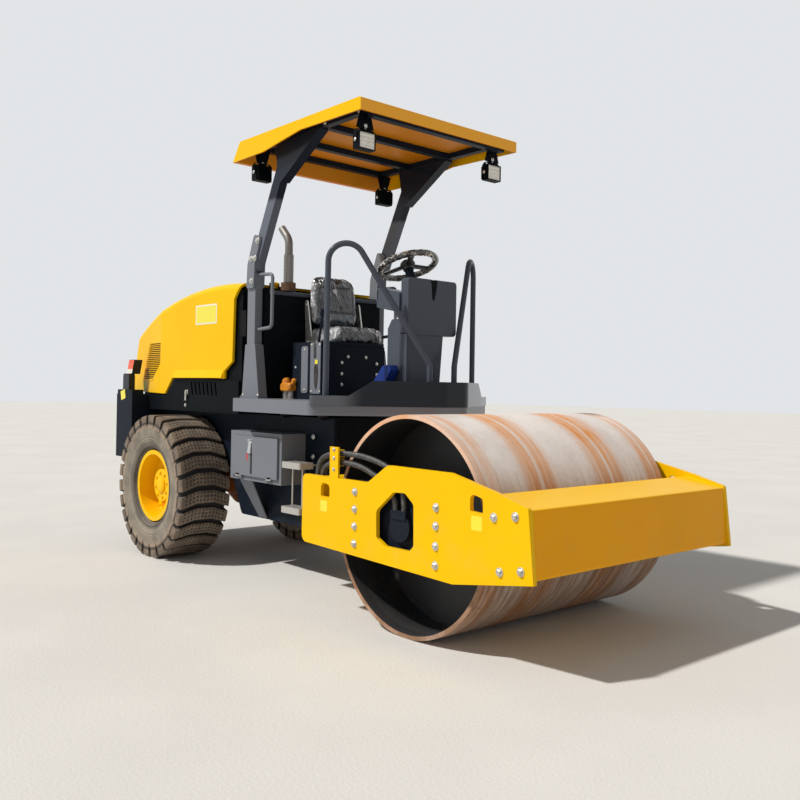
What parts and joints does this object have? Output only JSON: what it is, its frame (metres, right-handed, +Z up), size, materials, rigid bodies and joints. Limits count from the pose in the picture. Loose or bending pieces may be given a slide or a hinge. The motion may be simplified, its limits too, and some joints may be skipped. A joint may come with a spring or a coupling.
{
  "type": "single drum road roller",
  "caption": "Articulated soil compactor with a smooth steel drum in front, lugged tyres behind, an open platform under a canopy, and a lifting rear hood.",
  "frame": {"origin": "middle of the machine's length, on the centre plane, at ground level", "axes": "+X forward towards the drum, +Y to the driver's left, +Z up"},
  "size_m": [4.96, 1.76, 3.082],
  "materials": {
    "yellow_paint": "gloss yellow enamel",
    "dark_paint": "satin dark navy enamel",
    "grey_paint": "satin dark grey enamel",
    "drum_steel": "bare rolled steel with light rust",
    "rubber": "black moulded rubber",
    "hose": "black hose in a woven sleeve",
    "bright_steel": "zinc plated steel",
    "axle_paint": "red oxide primer on a casting",
    "lamp_black": "black die-cast lamp body",
    "seat_cover": "black vinyl under clear wrapping film",
    "pedal_blue": "blue moulded pad",
    "engine_paint": "engine grey",
    "lamp_red": "red and clear lamp lens",
    "exhaust_steel": "heat stained steel",
    "wheel_plastic": "black moulded plastic",
    "rim_paint": "gloss yellow enamel",
    "tyre": "black tyre rubber with dust"
  },
  "bodies": {
    "front_frame": {"frame_side_right": "yellow_paint", "frame_side_left": "yellow_paint", "front_beam": "yellow_paint", "rear_beam": "yellow_paint", "drum_supports": "dark_paint", "drum_hubs": "dark_paint", "drum_buffers": "rubber", "scrapers": "dark_paint", "hose_post": "yellow_paint", "drum_hoses": "hose"},
    "drum": {"drum": "drum_steel"},
    "yoke": {"yoke": "dark_paint"},
    "root": {"hitch_pin": "bright_steel", "chassis": "dark_paint", "rear_axle": "axle_paint", "platform": "grey_paint", "platform_mounts": "rubber", "platform_skirt": "grey_paint", "handrail_right": "grey_paint", "handrail_left": "grey_paint", "rops_lower_right": "grey_paint", "rops_lower_left": "grey_paint", "rops_upper_right": "grey_paint", "rops_upper_left": "grey_paint", "canopy_frame": "dark_paint", "canopy_roof": "yellow_paint", "work_lamps": "lamp_black", "seat_base": "dark_paint", "seat_cushion": "seat_cover", "seat_back": "seat_cover", "seat_brackets": "bright_steel", "lever_box": "grey_paint", "pedal": "pedal_blue", "console": "grey_paint", "instrument_box": "grey_paint", "steering_column": "dark_paint", "engine_cowl": "dark_paint", "engine_deck": "dark_paint", "engine_block": "engine_paint", "radiator": "dark_paint", "counterweight": "dark_paint", "tail_lamps": "lamp_red", "exhaust": "exhaust_steel", "lockers": "grey_paint", "steps": "bright_steel"},
    "hood": {"hood": "yellow_paint"},
    "steering_wheel": {"steering_wheel": "wheel_plastic"},
    "wheel_right": {"rim_right": "rim_paint", "tyre_right": "tyre"},
    "wheel_left": {"rim_left": "rim_paint", "tyre_left": "tyre"},
    "locker_door_right": {"locker_door_right": "grey_paint"},
    "locker_door_left": {"locker_door_left": "grey_paint"},
    "steer_barrel_right": {"steer_barrel_right": "dark_paint"},
    "steer_barrel_left": {"steer_barrel_left": "dark_paint"},
    "steer_rod_right": {"steer_rod_right": "bright_steel"},
    "steer_rod_left": {"steer_rod_left": "bright_steel"}
  },
  "joints": [
    {"name": "articulation", "type": "hinge", "parent": "root", "child": "yoke", "pos_m": [0.47, 0, 0.6], "axis": [0, 0, 1], "range_deg": [-30, 30]},
    {"name": "oscillation", "type": "hinge", "parent": "yoke", "child": "front_frame", "pos_m": [0.64, 0, 0.6], "axis": [1, 0, 0], "range_deg": [-10, 10]},
    {"name": "drum_spin", "type": "hinge", "parent": "front_frame", "child": "drum", "pos_m": [1.52, 0, 0.6], "axis": [0, 1, 0], "continuous": true},
    {"name": "steering_wheel_turn", "type": "hinge", "parent": "root", "child": "steering_wheel", "pos_m": [0.606, 0, 2.17], "axis": [-0.3584, 0, 0.9336], "continuous": true},
    {"name": "hood_lift", "type": "hinge", "parent": "root", "child": "hood", "pos_m": [-0.49, 0, 2.1], "axis": [0, 1, 0], "range_deg": [0, 50]},
    {"name": "wheel_spin_right", "type": "hinge", "parent": "root", "child": "wheel_right", "pos_m": [-1.41, -0.675, 0.551], "axis": [0, 1, 0], "continuous": true},
    {"name": "locker_right", "type": "hinge", "parent": "root", "child": "locker_door_right", "pos_m": [-0.241, -0.654, 0.695], "axis": [1, 0, 0], "range_deg": [0, 100]},
    {"name": "wheel_spin_left", "type": "hinge", "parent": "root", "child": "wheel_left", "pos_m": [-1.41, 0.675, 0.551], "axis": [0, 1, 0], "continuous": true},
    {"name": "locker_left", "type": "hinge", "parent": "root", "child": "locker_door_left", "pos_m": [-0.241, 0.654, 0.695], "axis": [-1, 0, 0], "range_deg": [0, 100]},
    {"name": "barrel_swing_right", "type": "hinge", "parent": "root", "child": "steer_barrel_right", "pos_m": [-0.15, -0.3, 0.6], "axis": [0, 0, 1], "range_deg": [-8, 8]},
    {"name": "rod_slide_right", "type": "slide", "parent": "steer_barrel_right", "child": "steer_rod_right", "axis": [0.9946, 0.1036, 0], "range_m": [-0.15, 0.15]},
    {"name": "barrel_swing_left", "type": "hinge", "parent": "root", "child": "steer_barrel_left", "pos_m": [-0.15, 0.3, 0.6], "axis": [0, 0, 1], "range_deg": [-8, 8]},
    {"name": "rod_slide_left", "type": "slide", "parent": "steer_barrel_left", "child": "steer_rod_left", "axis": [0.9946, -0.1036, 0], "range_m": [-0.15, 0.15]}
  ],
  "couplings": [
    {"joint": "barrel_swing_right", "follows": "articulation", "ratio": 0.0904},
    {"joint": "rod_slide_right", "follows": "articulation", "m_per_rad": 0.2263},
    {"joint": "barrel_swing_left", "follows": "articulation", "ratio": 0.0904},
    {"joint": "rod_slide_left", "follows": "articulation", "m_per_rad": -0.2263}
  ]
}
